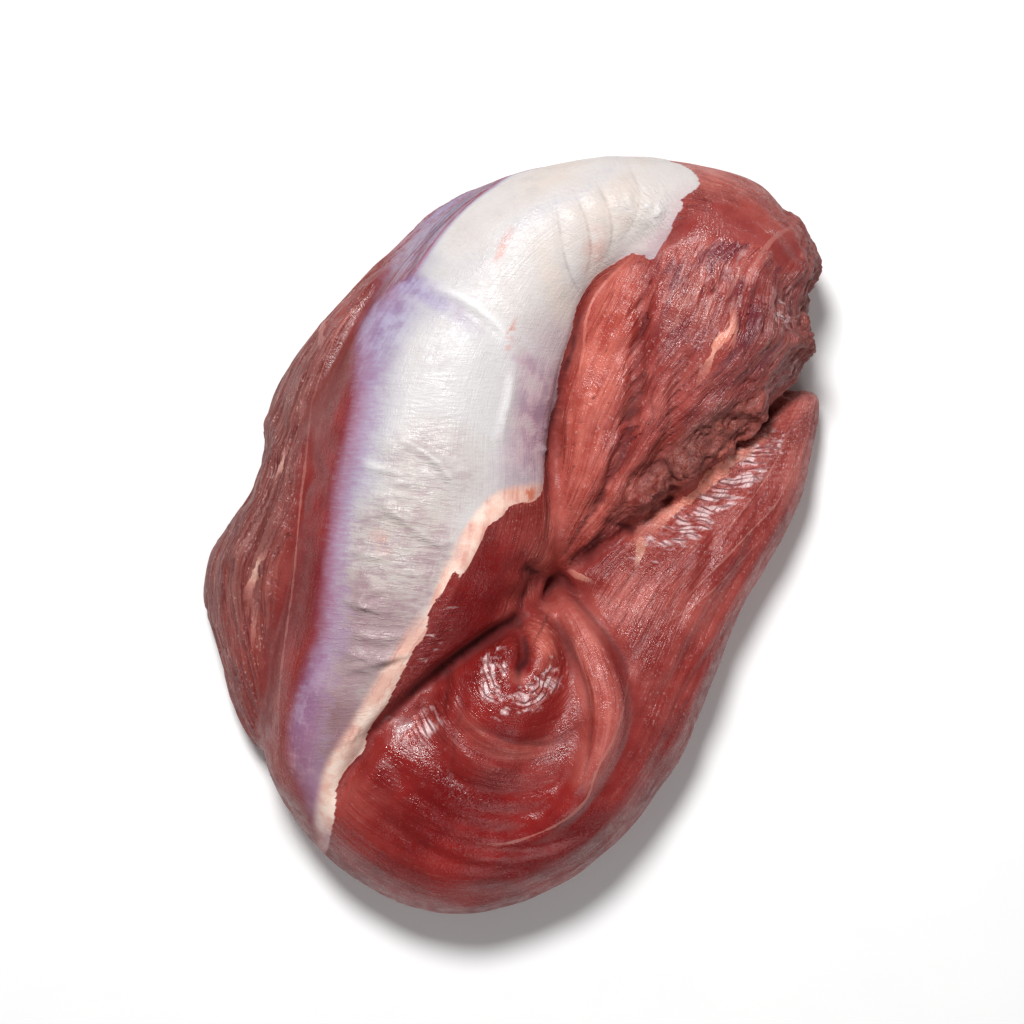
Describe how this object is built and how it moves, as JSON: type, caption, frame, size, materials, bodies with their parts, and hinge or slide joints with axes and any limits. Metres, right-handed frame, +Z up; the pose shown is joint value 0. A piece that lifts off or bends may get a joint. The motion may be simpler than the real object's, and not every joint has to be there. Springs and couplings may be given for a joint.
{
  "type": "veal tenderloin",
  "caption": "Whole untrimmed raw veal tenderloin, folded into a U with the head turned over and the tail brought back up beside it; rests flat on its underside.",
  "frame": {"origin": "middle of the footprint, on the surface that the meat rests on", "axes": "+Y from the bend to the turned-over head, +X from the side strap to the tail, +Z up"},
  "size_m": [0.16, 0.241, 0.064],
  "materials": {
    "raw_meat": "moist raw muscle, dark red, with pale silverskin over the loin and a satin to wet sheen"
  },
  "bodies": {
    "root": {"tenderloin": "raw_meat"}
  },
  "joints": []
}
